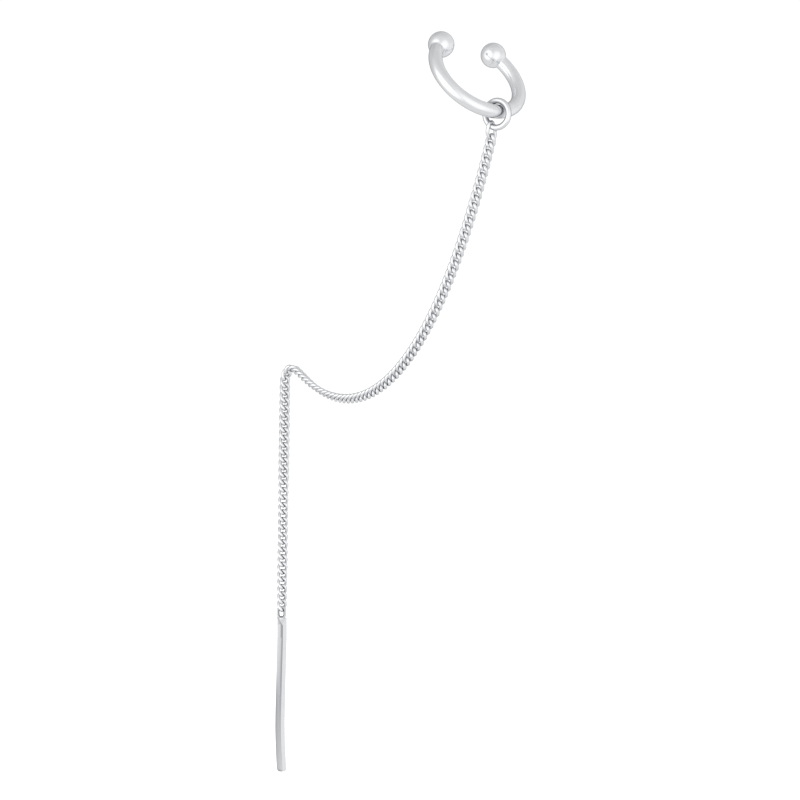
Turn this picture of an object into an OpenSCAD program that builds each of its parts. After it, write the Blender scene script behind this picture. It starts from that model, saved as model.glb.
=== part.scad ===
// Ear chain earring: an open ear cuff of round wire with a ball on each end,
// a jump ring on the cuff, one curb chain that swags down and rises to the
// lobe, turns over there and hangs, and a slim square bar on its free end.
// Origin at the centre of the cuff's ring, +Z up, +X to the viewer's right,
// +Y away from the viewer. Millimetres.

/* [Ear cuff] */
// Diameter of the cuff's round wire
cuff_wire_d = 1.6; // [1.2:0.1:2.2]
// Radius of the ring to the middle of the wire
cuff_radius = 5.46; // [4.5:0.02:7]
// Diameter of the ball on the nearer end
ball_near_d = 3.02; // [2:0.02:4]
// Diameter of the ball on the farther end
ball_far_d = 2.92; // [2:0.02:4]
// Angle round the ring where the nearer ball sits
ball_near_angle = 123.8; // [90:0.1:160]
// Angle of wire from the nearer ball to the farther one
cuff_sweep = 276.8; // [240:0.1:300]
// Turn of the ring about the vertical
cuff_turn = 37.74; // [0:0.02:90]
// Lean of the ring back from upright
cuff_lean = 37.76; // [0:0.02:90]

/* [Jump ring] */
// Diameter of the jump ring's wire
ring_wire_d = 0.62; // [0.4:0.02:0.9]
// Radius of the jump ring to the middle of its wire
ring_radius = 1.53; // [1.2:0.01:2]
// Gap between the ring and the top of the cuff's wire
ring_rest_gap = 0.05; // [0.02:0.01:0.3]
// Direction of the ring's plane about the vertical
ring_turn = -30.7; // [-90:0.1:90]
// How far the ring has slid along the cuff's wire
ring_slide = 0.11; // [-1:0.01:1]
// Place of the chain on the jump ring, from its lowest point
hook_angle = 17; // [0:1:40]
// Angle of the cut in the ring
ring_cut_angle = 235; // [200:1:260]
// Width of the cut in degrees
ring_cut = 5; // [2:0.5:10]

/* [Chain links] */
// Step from link to link in the swag
swag_step = 0.9317; // [0.9:0.0001:0.96]
// Nominal step from link to link in the hanging length, where the bar pulls
drop_step = 0.937; // [0.9:0.001:0.96]
// Diameter of the link's wire
link_wire_d = 0.25; // [0.2:0.01:0.4]
// Half length of a link to the middle of its wire
link_half_l = 0.70; // [0.5:0.01:1]
// Half width of a link to the middle of its wire
link_half_w = 0.53; // [0.3:0.01:0.8]
// Fullness of the link's oval, 2 is an ellipse
link_fullness = 2.3; // [2:0.1:4]
// Twist of a link from end to end
link_twist = 104; // [60:1:130]
// Stations along a link
link_stations = 12; // [10:2:16]
// Sides round a link's wire
link_sides = 6; // [5:1:6]
// Half length of the end link on the jump ring
end_half_l = 0.91; // [0.6:0.01:1]
// Half width of the end link on the jump ring
end_half_w = 0.62; // [0.4:0.01:0.8]
// Twist angle at the top of the end link
end_twist_top = -26; // [-60:1:60]
// Clearance of the end link over the jump ring's wire
end_clear = 0.12; // [0.05:0.01:0.2]

/* [Chain route] */
// Direction of the swag's vertical plane, from the viewer's left to the back
swag_turn = 56.5; // [0:0.1:90]
// Size of the hanging curve
swag_a = 19.195; // [10:0.005:30]
// Lowest point of the swag, across
swag_x = -15.265; // [-30:0.005:0]
// Slope of the rising side where it leaves the hanging curve
rise_slope = 27; // [15:0.5:45]
// Straight length of the rising side above that
rise_straight = 2.5; // [0:0.05:4]
// Radius of the first bend at the lobe
peak_r1 = 2.7; // [1:0.05:6]
// Radius of the turn down at the lobe
peak_r2 = 1.7; // [1:0.05:4]
// Sideways lean of the hanging length
drop_lean = 0.79; // [0:0.01:3]

/* [Threader bar] */
// Side of the square bar
bar_side = 0.8; // [0.6:0.05:1.2]
// Length of the bar
bar_length = 19.3; // [10:0.1:30]
// Height of the bar's top face
bar_top_z = -64.22; // [-90:0.01:-30]
// Bow of the bar to the left at its middle
bar_bow = 0.2; // [0:0.01:1]
// Half width of the link soldered on the bar, to the middle of its wire
eye_half_w = 0.5; // [0.4:0.01:0.8]
// Depth of that link's wire in the bar's top
eye_sink = 0.08; // [0:0.01:0.15]
// Wire of the link soldered on the bar
eye_wire_d = 0.3; // [0.2:0.01:0.5]
// Clearance between that link and the chain's last link
eye_clear = 0.12; // [0.05:0.01:0.2]
// Height of the middle of the chain's last wire, where the bar swings
pivot_z = -63.38; // [-90:0.01:-30]

/* [Hidden] */
$fn = 64;
silver = [0.86, 0.86, 0.87];

// Lowest point of the cuff's wire, and the wire's level direction there
cuff_low = [sin(cuff_lean) * sin(cuff_turn), -sin(cuff_lean) * cos(cuff_turn), -cos(cuff_lean)] * cuff_radius;
cuff_level = [cos(cuff_turn), sin(cuff_turn), 0];

// Middle of the jump ring, which rests on the top of the cuff's wire
ring_inner_r = ring_radius - ring_wire_d / 2;
ring_centre = cuff_low + cuff_level * ring_slide
    + [0, 0, cuff_wire_d / 2 + ring_rest_gap - ring_inner_r];

// Directions of the swag's plane: along it, and square to it
plane_along = [-cos(swag_turn), sin(swag_turn), 0];
plane_across = [-sin(swag_turn), -cos(swag_turn), 0];

function sinh(x) = (exp(x) - exp(-x)) / 2;
function cosh(x) = (exp(x) + exp(-x)) / 2;
function asinh(x) = ln(x + sqrt(x * x + 1));
function unit(v) = v / norm(v);

// Where the jump ring's wire is met by the chain
ring_in_plane = [cos(ring_turn), sin(ring_turn), 0];
ring_meet = ring_centre - ring_radius * (sin(hook_angle) * ring_in_plane + [0, 0, cos(hook_angle)]);
ring_meet_h = (swag_x - ring_meet[0]) / cos(swag_turn);

// Depth and height of the swag's lowest point, so that it starts at the ring
swag_y = ring_meet[1] - ring_meet_h * sin(swag_turn);
swag_z = ring_meet[2] - swag_a * (cosh(ring_meet_h / swag_a) - 1);

// Lengths along the route, from the swag's lowest point
s_ring = swag_a * sinh(ring_meet_h / swag_a);
s_rise = swag_a * tan(rise_slope);
s_bend = s_rise + rise_straight;
s_over = s_bend + peak_r1 * rise_slope * PI / 180;
s_drop = s_over + peak_r2 * PI / 2;

rise_h = swag_a * asinh(tan(rise_slope));
rise_z = swag_z + swag_a * (1 / cos(rise_slope) - 1);
bend_h = rise_h + rise_straight * cos(rise_slope);
bend_z = rise_z + rise_straight * sin(rise_slope);
over_h = bend_h + peak_r1 * sin(rise_slope);
over_z = bend_z + peak_r1 * (1 - cos(rise_slope));
drop_h = over_h + peak_r2;
drop_z = over_z - peak_r2;
s_pivot = s_drop + drop_z - pivot_z;

// Slope of the route and its place [along, height] at length s
function slope_at(s) =
    s < s_rise ? atan(s / swag_a) :
    s < s_bend ? rise_slope :
    s < s_over ? rise_slope - (s - s_bend) / peak_r1 * 180 / PI :
    s < s_drop ? -(s - s_over) / peak_r2 * 180 / PI : -90;

function place_at(s) =
    s < s_rise ? [swag_a * asinh(s / swag_a), swag_z + swag_a * (sqrt(1 + s * s / swag_a / swag_a) - 1)] :
    s < s_bend ? [rise_h + (s - s_rise) * cos(rise_slope), rise_z + (s - s_rise) * sin(rise_slope)] :
    s < s_over ? [bend_h + peak_r1 * (sin(rise_slope) - sin(slope_at(s))),
                  bend_z + peak_r1 * (cos(slope_at(s)) - cos(rise_slope))] :
    s < s_drop ? [over_h - peak_r2 * sin(slope_at(s)), over_z - peak_r2 * (1 - cos(slope_at(s)))] :
    [drop_h, drop_z - (s - s_drop)];

function world(s) =
    [swag_x, swag_y, 0] + place_at(s)[0] * plane_along + [0, 0, place_at(s)[1]]
    - [max(0, s - s_drop) * tan(drop_lean), 0, 0];

// Link centres: the end link holds the jump ring's wire, the rest follow at one step
end_hook = end_half_l - link_wire_d / 2 - end_clear - ring_wire_d / 2;
link_hold = 2 * link_half_l - 0.926;
s_end_link = s_ring + end_hook;
s_first = s_end_link + end_half_l - link_hold + link_half_l;
s_last = s_pivot - link_half_l;
swag_count = ceil((s_drop - s_first) / swag_step);
s_join = s_first + swag_count * swag_step;
drop_count = round((s_last - s_join) / drop_step) + 1;
drop_pitch = (s_last - s_join) / (drop_count - 1);
link_count = swag_count + drop_count;

// Turn of a link about the route, by its number from the jump ring
roll_table = [[0, 64], [6, 56], [12, 50], [20, 46], [44, 45], [50, 38], [56, 28], [61, 14], [66, 7], [73, 17], [91, 17], [95, -4]];

// One row per link: [length along the route, half length, half width, turn at its start, turn at its end]
function link_row(i) =
    [i < swag_count ? s_first + i * swag_step : s_join + (i - swag_count) * drop_pitch, link_half_l, link_half_w,
     lookup(i, roll_table) + link_twist / 2, lookup(i, roll_table) - link_twist / 2];
end_row = [s_end_link, end_half_l, end_half_w, end_twist_top, lookup(0, roll_table) - link_twist / 2];
swag_rows = concat([end_row], [for (i = [0 : swag_count - 1]) link_row(i)]);
drop_rows = [for (i = [swag_count : link_count - 1]) link_row(i)];

function oval(v) = sign(v) * pow(abs(v), 2 / link_fullness);

// Point of a link's middle line at angle t, in the part's frame
function link_point(row, t) =
    let (x = row[1] * oval(cos(t)),
         w = row[2] * oval(sin(t)),
         f = row[3] + (row[4] - row[3]) * (x / row[1] + 1) / 2,
         g = slope_at(row[0]))
    world(row[0]) + x * (cos(g) * plane_along + [0, 0, sin(g)])
    + w * cos(f) * plane_across + w * sin(f) * (-sin(g) * plane_along + [0, 0, cos(g)]);

// Ring of points round the wire at angle t
function wire_ring(row, t, step) =
    let (p = link_point(row, t),
         d = unit(link_point(row, t + step) - link_point(row, t - step)),
         r = p - world(row[0]),
         u = unit(r - (r * d) * d),
         v = cross(d, u))
    [for (k = [0 : link_sides - 1])
        let (a = 360 * (k + 0.5) / link_sides)
        p + link_wire_d / 2 * (cos(a) * u + sin(a) * v)];

module links(rows) {
    step = 360 / link_stations;
    per = link_stations * link_sides;
    points = [for (row = rows) for (j = [0 : link_stations - 1]) each wire_ring(row, j * step, step)];
    faces = [for (n = [0 : len(rows) - 1]) for (j = [0 : link_stations - 1]) for (k = [0 : link_sides - 1])
        let (j2 = (j + 1) % link_stations,
             k2 = (k + 1) % link_sides,
             a = n * per + j * link_sides + k,
             b = n * per + j * link_sides + k2,
             c = n * per + j2 * link_sides + k2,
             d = n * per + j2 * link_sides + k)
        each [[a, c, b], [a, d, c]]];
    polyhedron(points = points, faces = faces);
}

// Open ring of round wire with a ball on each end
module ear_cuff() {
    color(silver)
    rotate([90 - cuff_lean, 0, cuff_turn])
    union() {
        rotate([0, 0, ball_near_angle])
        rotate_extrude(angle = cuff_sweep)
        translate([cuff_radius, 0])
        circle(d = cuff_wire_d);
        rotate([0, 0, ball_near_angle])
        translate([cuff_radius, 0, 0])
        sphere(d = ball_near_d);
        rotate([0, 0, ball_near_angle + cuff_sweep])
        translate([cuff_radius, 0, 0])
        sphere(d = ball_far_d);
    }
}

// Round wire ring with a fine cut, hung on the cuff
module jump_ring() {
    color(silver)
    translate(ring_centre)
    rotate([90, 0, ring_turn])
    rotate([0, 0, ring_cut_angle + ring_cut / 2])
    rotate_extrude(angle = 360 - ring_cut)
    translate([ring_radius, 0])
    circle(d = ring_wire_d);
}

// Chain from the jump ring over the swag to the lobe
module chain_swag() {
    color(silver)
    links(swag_rows);
}

// Chain hanging from the lobe to the bar
module chain_drop() {
    color(silver)
    links(drop_rows);
}

// Slightly bowed square bar with a link soldered on its top
pivot = world(s_pivot);
bow_r = (bar_length * bar_length / 4 + bar_bow * bar_bow) / (2 * bar_bow);
bow_angle = 2 * asin(bar_length / 2 / bow_r);
eye_top_z = pivot_z + eye_wire_d / 2 + link_wire_d / 2 + eye_clear;
eye_low_z = bar_top_z - eye_sink;

module threader_bar() {
    color(silver)
    union() {
        translate([pivot[0] + bow_r * cos(bow_angle / 2), pivot[1], bar_top_z - bar_length / 2])
        rotate([90, 0, 0])
        rotate([0, 0, 180 - bow_angle / 2])
        rotate_extrude(angle = bow_angle, $fn = 720)
        translate([bow_r, 0])
        rotate([0, 0, 45])
        square(bar_side, center = true);
        for (side = [0, 1])
            translate([pivot[0], pivot[1], side == 0 ? eye_top_z - eye_half_w : eye_low_z + eye_half_w])
            rotate([90, 0, 0])
            rotate([0, 0, side * 180])
            rotate_extrude(angle = 180)
            translate([eye_half_w, 0])
            circle(d = eye_wire_d);
        for (side = [-1, 1])
            translate([pivot[0] + side * eye_half_w, pivot[1], eye_low_z + eye_half_w])
            cylinder(d = eye_wire_d, h = eye_top_z - eye_low_z - 2 * eye_half_w);
    }
}

ear_cuff();
jump_ring();
chain_swag();
chain_drop();
threader_bar();
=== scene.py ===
import bpy, bmesh, math
from mathutils import Matrix, Vector


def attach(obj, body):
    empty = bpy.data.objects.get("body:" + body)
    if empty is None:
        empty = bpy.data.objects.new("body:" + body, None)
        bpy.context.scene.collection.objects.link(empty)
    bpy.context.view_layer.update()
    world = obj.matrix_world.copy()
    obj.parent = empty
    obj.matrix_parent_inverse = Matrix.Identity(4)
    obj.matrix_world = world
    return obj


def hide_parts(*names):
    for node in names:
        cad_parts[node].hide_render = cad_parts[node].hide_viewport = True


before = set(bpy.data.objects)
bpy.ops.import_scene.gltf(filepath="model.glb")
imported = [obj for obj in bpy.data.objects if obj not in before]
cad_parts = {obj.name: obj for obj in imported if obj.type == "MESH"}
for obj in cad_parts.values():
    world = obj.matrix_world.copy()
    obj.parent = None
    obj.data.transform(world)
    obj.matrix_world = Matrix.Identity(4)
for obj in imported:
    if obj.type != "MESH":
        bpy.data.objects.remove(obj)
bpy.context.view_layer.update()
print("frame loaded:", sorted(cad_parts))

mm = 0.001

# camera, level and straight on, a little below the middle of the earring
viewpoint = {"x": -8.788, "y": -332.95, "z": -36.85, "sensor": 36.0, "lens": 131.85}

cameraData = bpy.data.cameras.new("productCamera")
cameraData.sensor_width = viewpoint["sensor"]
cameraData.lens = viewpoint["lens"]
cameraData.clip_start, cameraData.clip_end = 0.01, 20
cameraData.dof.use_dof = False
camera = bpy.data.objects.new("productCamera", cameraData)
camera.location = Vector((viewpoint["x"], viewpoint["y"], viewpoint["z"])) * mm
camera.rotation_euler = (math.radians(90), 0, 0)
bpy.context.scene.collection.objects.link(camera)
bpy.context.scene.camera = camera
print("camera set")


# small tools for the wire pieces, all in millimetres
def linkObject(name, mesh):
    piece = bpy.data.objects.new(name, mesh)
    bpy.context.scene.collection.objects.link(piece)
    return piece


def skinRings(name, rings, alongs, girth, tipStart=None, tipEnd=None):
    # a skin over closed rings of points; the UV map runs round the piece in u and along it in v
    count = len(rings[0])
    verts = [p * mm for ring in rings for p in ring]
    faces, uvs = [], []
    for i in range(len(rings) - 1):
        for j in range(count):
            k = (j + 1) % count
            faces.append((i * count + j, i * count + k, (i + 1) * count + k, (i + 1) * count + j))
            left, right = j / count * girth, (j + 1) / count * girth
            uvs += [(left, alongs[i]), (right, alongs[i]), (right, alongs[i + 1]), (left, alongs[i + 1])]
    for tip, base, along in ((tipStart, 0, alongs[0]), (tipEnd, (len(rings) - 1) * count, alongs[-1])):
        if tip is None:
            continue
        verts.append(tip * mm)
        for j in range(count):
            faces.append((base + j, base + (j + 1) % count, len(verts) - 1))
            uvs += [((j + part) / count * girth, along) for part in (0, 1, 0.5)]
    mesh = bpy.data.meshes.new(name)
    mesh.from_pydata(verts, [], faces)
    layer = mesh.uv_layers.new(name="surface")
    for loop, uv in zip(layer.data, uvs):
        loop.uv = uv
    turnOutward(mesh)
    return mesh


def turnOutward(mesh):
    shell = bmesh.new()
    shell.from_mesh(mesh)
    bmesh.ops.recalc_face_normals(shell, faces=shell.faces)
    for face in shell.faces:
        face.smooth = True
    shell.to_mesh(mesh)
    shell.free()


def roundRing(centre, across, up, radius, sides):
    angles = [2 * math.pi * j / sides for j in range(sides)]
    return [centre + radius * (math.cos(angle) * across + math.sin(angle) * up) for angle in angles]


def joinMeshes(name, meshes):
    whole = bmesh.new()
    for mesh in meshes:
        whole.from_mesh(mesh)
    joined = bpy.data.meshes.new(name)
    whole.to_mesh(joined)
    whole.free()
    return joined


# finishes: one shared group for the hand polish, four kinds of silver
# painted shade, stored per face corner, which darkens the silver where shade falls
def storePaintedShade(mesh, values):
    layer = mesh.attributes.new("painted_shade", "FLOAT", "CORNER")
    layer.data.foreach_set("value", values)


def eased(value, low, high):
    share = min(max((value - low) / (high - low), 0), 1)
    return share * share * (3 - 2 * share)


def addSocket(tree, way, kind, name, value=None):
    socket = tree.interface.new_socket(name=name, in_out=way, socket_type=kind)
    if value is not None:
        socket.default_value = value
    return socket


def calcNode(tree, kind, *values, clamp=False):
    # one sum, of numbers and sockets
    node = tree.nodes.new("ShaderNodeMath")
    node.operation, node.use_clamp = kind, clamp
    for socket, value in zip(node.inputs, values):
        if isinstance(value, (int, float)):
            socket.default_value = value
        else:
            tree.links.new(value, socket)
    return node.outputs[0]


# how the polish group turns its noises into marks
polishMarks = {"crossing": 0.7, "scratchCrest": 0.62, "scratchFineness": 60, "scratchRoughness": 0.15,
               "lineRoughness": 0.12, "spreadGain": 4, "dullUnder": 0.35, "toneGain": 3}


def buildPolishGroup():
    # polishing lines, faint cloudiness and a few fine scratches; puts out a colour, a roughness and a height
    marks = polishMarks
    tree = bpy.data.node_groups.new("handPolish", "ShaderNodeTree")
    addSocket(tree, "INPUT", "NodeSocketVector", "Vector")
    for name, value in (("Cloud Scale", 1.0), ("Line Scale", 20.0), ("Line Stretch", 0.05),
                        ("Roughness", 0.15), ("Roughness Spread", 0.05), ("Line Strength", 0.3),
                        ("Scratch Amount", 0.3)):
        addSocket(tree, "INPUT", "NodeSocketFloat", name, value)
    addSocket(tree, "INPUT", "NodeSocketColor", "Bright Tone", (0.95, 0.95, 0.95, 1))
    addSocket(tree, "INPUT", "NodeSocketColor", "Dull Tone", (0.9, 0.9, 0.9, 1))
    addSocket(tree, "OUTPUT", "NodeSocketColor", "Colour")
    addSocket(tree, "OUTPUT", "NodeSocketFloat", "Roughness")
    addSocket(tree, "OUTPUT", "NodeSocketFloat", "Height")
    nodes, links = tree.nodes, tree.links
    start, end = nodes.new("NodeGroupInput"), nodes.new("NodeGroupOutput")

    def calc(kind, *values, clamp=False):
        return calcNode(tree, kind, *values, clamp=clamp)

    def noise(vector, scale, detail, roughness):
        node = nodes.new("ShaderNodeTexNoise")
        node.inputs["Detail"].default_value = detail
        node.inputs["Roughness"].default_value = roughness
        links.new(vector, node.inputs["Vector"])
        links.new(scale, node.inputs["Scale"])
        return node.outputs["Fac"]

    def stretched(turn, stretch):
        turned = nodes.new("ShaderNodeMapping")
        turned.inputs["Rotation"].default_value = (0, 0, turn)
        links.new(start.outputs["Vector"], turned.inputs["Vector"])
        squeeze = nodes.new("ShaderNodeVectorMath")
        squeeze.operation = "MULTIPLY"
        axis = nodes.new("ShaderNodeCombineXYZ")
        axis.inputs["X"].default_value = 1
        links.new(stretch, axis.inputs["Y"])
        axis.inputs["Z"].default_value = 1
        links.new(turned.outputs[0], squeeze.inputs[0])
        links.new(axis.outputs[0], squeeze.inputs[1])
        return squeeze.outputs[0]

    cloud = noise(start.outputs["Vector"], start.outputs["Cloud Scale"], 3, 0.55)
    alongLines = stretched(0.0, start.outputs["Line Stretch"])
    acrossLines = stretched(marks["crossing"], start.outputs["Line Stretch"])
    lines = noise(alongLines, start.outputs["Line Scale"], 2, 0.6)
    crossed = noise(acrossLines, start.outputs["Line Scale"], 1, 0.5)
    # fine scratches are the narrow crests of the crossed lines
    crest = calc("ABSOLUTE", calc("SUBTRACT", crossed, marks["scratchCrest"]))
    scratch = calc("SUBTRACT", 1.0, calc("MULTIPLY", crest, marks["scratchFineness"]), clamp=True)
    scratch = calc("MULTIPLY", scratch, start.outputs["Scratch Amount"])
    lineWave = calc("MULTIPLY", calc("SUBTRACT", lines, 0.5), start.outputs["Line Strength"])
    gain = calc("MULTIPLY", start.outputs["Roughness Spread"], marks["spreadGain"])
    rough = calc("ADD", start.outputs["Roughness"], calc("MULTIPLY", calc("SUBTRACT", cloud, 0.5), gain))
    rough = calc("ADD", rough, calc("MULTIPLY", lineWave, marks["lineRoughness"]))
    rough = calc("ADD", rough, calc("MULTIPLY", scratch, marks["scratchRoughness"]), clamp=True)
    bright = calc("MULTIPLY", calc("SUBTRACT", cloud, marks["dullUnder"]), marks["toneGain"], clamp=True)
    tone = nodes.new("ShaderNodeMix")
    tone.data_type = "RGBA"
    links.new(bright, tone.inputs["Factor"])
    links.new(start.outputs["Dull Tone"], tone.inputs["A"])
    links.new(start.outputs["Bright Tone"], tone.inputs["B"])
    links.new(tone.outputs["Result"], end.inputs["Colour"])
    links.new(rough, end.inputs["Roughness"])
    links.new(calc("SUBTRACT", lineWave, scratch), end.inputs["Height"])
    return tree


handPolish = buildPolishGroup()


def makeSilver(name, finish):
    silver = bpy.data.materials.new(name)
    silver.use_nodes = True
    nodes, links = silver.node_tree.nodes, silver.node_tree.links
    nodes.clear()
    output = nodes.new("ShaderNodeOutputMaterial")
    shader = nodes.new("ShaderNodeBsdfPrincipled")
    shader.inputs["Metallic"].default_value = 1.0
    shader.inputs["Specular Tint"].default_value = finish["edgeTone"]
    place = nodes.new("ShaderNodeTexCoord")
    polish = nodes.new("ShaderNodeGroup")
    polish.node_tree = handPolish
    if finish["follows"] == "surface":
        links.new(place.outputs["UV"], polish.inputs["Vector"])
    else:  # object coordinates are metres, so they are brought to millimetres
        sized = nodes.new("ShaderNodeMapping")
        sized.inputs["Scale"].default_value = (1000, 1000, 1000)
        links.new(place.outputs["Object"], sized.inputs["Vector"])
        links.new(sized.outputs[0], polish.inputs["Vector"])
    for key, value in finish["polish"].items():
        polish.inputs[key].default_value = value
    relief = nodes.new("ShaderNodeBump")
    relief.inputs["Strength"].default_value = finish["relief"]
    relief.inputs["Distance"].default_value = finish["reliefDepth"] * mm
    links.new(polish.outputs["Height"], relief.inputs["Height"])
    # painted shade: where the stored painted shade is high, the colour is mixed towards a darker tone; on the
    # chain part of it stands for tarnish where links cross
    mask = nodes.new("ShaderNodeAttribute")
    mask.attribute_name = "painted_shade"
    shade = nodes.new("ShaderNodeMix")
    shade.data_type = "RGBA"
    shade.inputs["B"].default_value = finish["paintedShadeTone"]
    links.new(mask.outputs["Fac"], shade.inputs["Factor"])
    links.new(polish.outputs["Colour"], shade.inputs["A"])
    links.new(shade.outputs["Result"], shader.inputs["Base Color"])
    links.new(polish.outputs["Roughness"], shader.inputs["Roughness"])
    links.new(relief.outputs["Normal"], shader.inputs["Normal"])
    links.new(shader.outputs["BSDF"], output.inputs["Surface"])
    return silver


silverFinishes = {
    "cuffSilver": {
        "follows": "surface", "relief": 0.2, "reliefDepth": 0.01,
        "edgeTone": (0.9, 0.91, 0.93, 1), "paintedShadeTone": (0.54, 0.545, 0.56, 1), "polish": {
            "Cloud Scale": 0.8, "Line Scale": 9.0, "Line Stretch": 0.06, "Roughness": 0.2,
            "Roughness Spread": 0.03, "Line Strength": 0.5, "Scratch Amount": 0.3,
            "Bright Tone": (0.85, 0.859, 0.876, 1), "Dull Tone": (0.815, 0.824, 0.841, 1)}},
    "ringSilver": {
        "follows": "surface", "relief": 0.4, "reliefDepth": 0.008,
        "edgeTone": (0.05, 0.055, 0.06, 1), "paintedShadeTone": (0.6, 0.605, 0.62, 1), "polish": {
            "Cloud Scale": 1.5, "Line Scale": 14.0, "Line Stretch": 0.08, "Roughness": 0.10,
            "Roughness Spread": 0.03, "Line Strength": 0.5, "Scratch Amount": 0.3,
            "Bright Tone": (0.832, 0.841, 0.858, 1), "Dull Tone": (0.785, 0.794, 0.811, 1)}},
    "chainSilver": {
        "follows": "object", "relief": 0.3, "reliefDepth": 0.006,
        "edgeTone": (0.5, 0.51, 0.53, 1), "paintedShadeTone": (0.45, 0.456, 0.47, 1), "polish": {
            "Cloud Scale": 1.2, "Line Scale": 14.0, "Line Stretch": 0.5, "Roughness": 0.08,
            "Roughness Spread": 0.03, "Line Strength": 0.4, "Scratch Amount": 0.2,
            "Bright Tone": (0.86, 0.869, 0.886, 1), "Dull Tone": (0.775, 0.784, 0.8, 1)}},
    "barSilver": {
        "follows": "surface", "relief": 0.5, "reliefDepth": 0.01,
        "edgeTone": (0.6, 0.61, 0.63, 1), "paintedShadeTone": (0.27, 0.274, 0.285, 1), "polish": {
            "Cloud Scale": 0.5, "Line Scale": 16.0, "Line Stretch": 0.03, "Roughness": 0.24,
            "Roughness Spread": 0.03, "Line Strength": 0.9, "Scratch Amount": 0.35,
            "Bright Tone": (0.825, 0.834, 0.85, 1), "Dull Tone": (0.78, 0.789, 0.805, 1)}},
}
silvers = {name: makeSilver(name, finish) for name, finish in silverFinishes.items()}
print("four silver finishes made")


# ear cuff: round wire ring with a soldered ball on each end
cuffSizes = {"wire": 1.6, "radius": 5.46, "nearBall": 3.02, "farBall": 2.92, "nearAngle": 123.8,
             "sweep": 276.8, "turn": 37.74, "lean": 37.76, "solder": 0.16, "sides": 56,
             "alongWire": 150, "overBall": 22, "overSolder": 5}


def cuffPose():
    # turned about the vertical after it has leaned
    return (Matrix.Rotation(math.radians(cuffSizes["turn"]), 3, "Z")
            @ Matrix.Rotation(math.radians(90 - cuffSizes["lean"]), 3, "X"))


def ballStations(ballRadius, wireRadius):
    # profile from the ball's far pole to the wire: distance from the ball's centre, radius, share of the turn
    solder, count, steps = cuffSizes["solder"], cuffSizes["overBall"], cuffSizes["overSolder"]
    reach = math.sqrt((ballRadius + solder) ** 2 - (wireRadius + solder) ** 2)
    meet = math.atan2(wireRadius + solder, reach)
    rows = []
    for i in range(1, count + 1):
        polar = math.pi + (meet - math.pi) * i / count
        rows.append((ballRadius * math.cos(polar), ballRadius * math.sin(polar), 0.0))
    for i in range(1, steps + 1):
        turn = meet + (math.pi / 2 - meet) * i / steps
        radius = wireRadius + solder * (1 - math.sin(turn))
        rows.append((reach - solder * math.cos(turn), radius, i / steps))
    return rows, reach


def buildEarCuff():
    sizes, pose = cuffSizes, cuffPose()
    wireRadius, ringRadius = sizes["wire"] / 2, sizes["radius"]
    square = pose @ Vector((0, 0, 1))

    def onRing(angle):
        return pose @ Vector((math.cos(angle), math.sin(angle), 0)) * ringRadius

    def alongRing(angle):
        return pose @ Vector((-math.sin(angle), math.cos(angle), 0))

    first, last = math.radians(sizes["nearAngle"]), math.radians(sizes["nearAngle"] + sizes["sweep"])
    rings, alongs, tips, spans = [], [], [], []
    for ball, angle, sense in ((sizes["nearBall"] / 2, first, 1), (sizes["farBall"] / 2, last, -1)):
        rows, reach = ballStations(ball, wireRadius)
        span = 2 * math.asin(reach / 2 / ringRadius)
        middle, entry = onRing(angle), onRing(angle + sense * span)
        chord = (entry - middle).normalized()
        tangent = alongRing(angle + sense * span) * sense
        part = []
        for distance, radius, share in rows:
            axis = chord.lerp(tangent, share).normalized()
            outward = axis.cross(square).normalized() * sense
            ring = roundRing(middle + chord * distance, outward, square, radius, sizes["sides"])
            part.append((ring, distance - reach))
        tips.append(middle - chord * ball)
        spans.append((part, angle + sense * span))
    length = abs(spans[1][1] - spans[0][1]) * ringRadius
    for ring, along in spans[0][0]:
        rings.append(ring)
        alongs.append(along)
    for i in range(1, sizes["alongWire"]):
        angle = spans[0][1] + (spans[1][1] - spans[0][1]) * i / sizes["alongWire"]
        outward = alongRing(angle).cross(square)
        rings.append(roundRing(onRing(angle), outward, square, wireRadius, sizes["sides"]))
        alongs.append(length * i / sizes["alongWire"])
    for ring, along in reversed(spans[1][0]):
        rings.append(ring)
        alongs.append(length - along)
    return skinRings("earCuff", rings, alongs, math.pi * sizes["wire"], tips[0], tips[1])


earCuff = linkObject("earCuff", buildEarCuff())
print("ear cuff:", len(earCuff.data.polygons), "faces")


# jump ring: round wire, cut at the lower left, its ends rounded and slightly out of line
ringSizes = {"wire": 0.62, "radius": 1.53, "restGap": 0.05, "turn": -30.7, "slide": 0.11, "hookAngle": 17.0,
             "shownWire": 0.66, "shownRadius": 1.51, "lift": 0.08, "cutAngle": 235.0, "cut": 2.6,
             "endRound": 0.13, "endSteps": 5, "shift": 0.05, "spread": 0.3, "sides": 28, "alongWire": 96,
             "shadeFrom": -0.2, "shadeFully": 0.45, "ringShadowCore": 0.15, "ringShadowWidth": 0.5, "ringShadowReach": 2.5}


def ringPlace():
    # the ring hangs on the lowest place of the cuff's wire
    lean, turn = math.radians(cuffSizes["lean"]), math.radians(cuffSizes["turn"])
    down = Vector((math.sin(lean) * math.sin(turn), -math.sin(lean) * math.cos(turn), -math.cos(lean)))
    level = Vector((math.cos(turn), math.sin(turn), 0))
    rise = cuffSizes["wire"] / 2 + ringSizes["restGap"] - (ringSizes["radius"] - ringSizes["wire"] / 2)
    return down * cuffSizes["radius"] + level * ringSizes["slide"] + Vector((0, 0, rise))


ringTurn = math.radians(ringSizes["turn"])
ringCentre = ringPlace()
ringAcross = Vector((math.cos(ringTurn), math.sin(ringTurn), 0))
ringNormal = Vector((math.sin(ringTurn), -math.cos(ringTurn), 0))


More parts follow.
